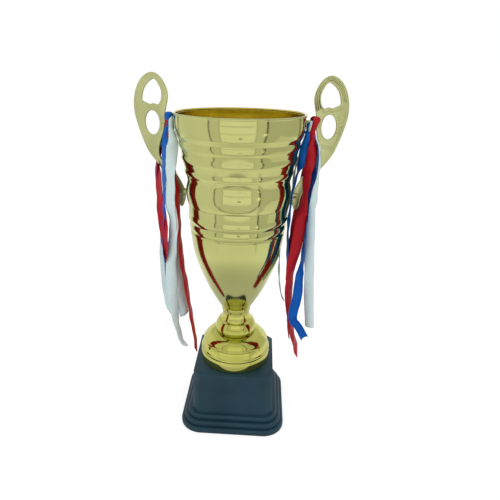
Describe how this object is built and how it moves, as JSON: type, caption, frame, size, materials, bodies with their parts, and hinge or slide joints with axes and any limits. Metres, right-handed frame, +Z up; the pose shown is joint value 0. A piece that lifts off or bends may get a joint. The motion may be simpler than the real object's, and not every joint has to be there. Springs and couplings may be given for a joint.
{
  "type": "cup trophy",
  "caption": "Metal-look cup trophy with a banded bowl, flat openwork handles hung with ribbons, a turned stem and bell foot, on a square stepped plinth.",
  "frame": {"origin": "centre of the plinth's underside, on the surface that it stands on", "axes": "+Z up along the bowl's axis, the two handles along +X and -X, the front faces -Y"},
  "size_m": [0.193, 0.1212, 0.353],
  "materials": {
    "plinth_plastic": "satin dark slate blue moulding",
    "cover_board": "bare fibreboard",
    "felt": "dark green felt",
    "ballast": "cast plaster and cement",
    "gold_plastic": "bright vacuum-metallised gold",
    "bowl_metal": "polished, clear-lacquered gold",
    "steel": "zinc plated",
    "handle_plastic": "satin vacuum-metallised champagne gold",
    "ribbon_white": "satin",
    "ribbon_red": "satin",
    "ribbon_blue": "satin"
  },
  "bodies": {
    "root": {"plinth_shell": "plinth_plastic", "plinth_cover": "cover_board", "felt_pad": "felt", "ballast_block": "ballast", "bell": "gold_plastic", "stem": "gold_plastic", "lower_cup": "bowl_metal", "upper_bowl": "bowl_metal", "tie_bolt": "steel", "cup_washer": "steel", "plinth_washer": "steel", "plinth_nut": "steel", "handle_right": "handle_plastic", "handle_left": "handle_plastic", "lower_screws": "steel", "upper_screws": "steel", "screw_washers": "steel", "ribbon_left_white": "ribbon_white", "ribbon_left_red": "ribbon_red", "ribbon_left_blue": "ribbon_blue", "ribbon_right_white": "ribbon_white", "ribbon_right_red": "ribbon_red", "ribbon_right_blue": "ribbon_blue"}
  },
  "joints": []
}
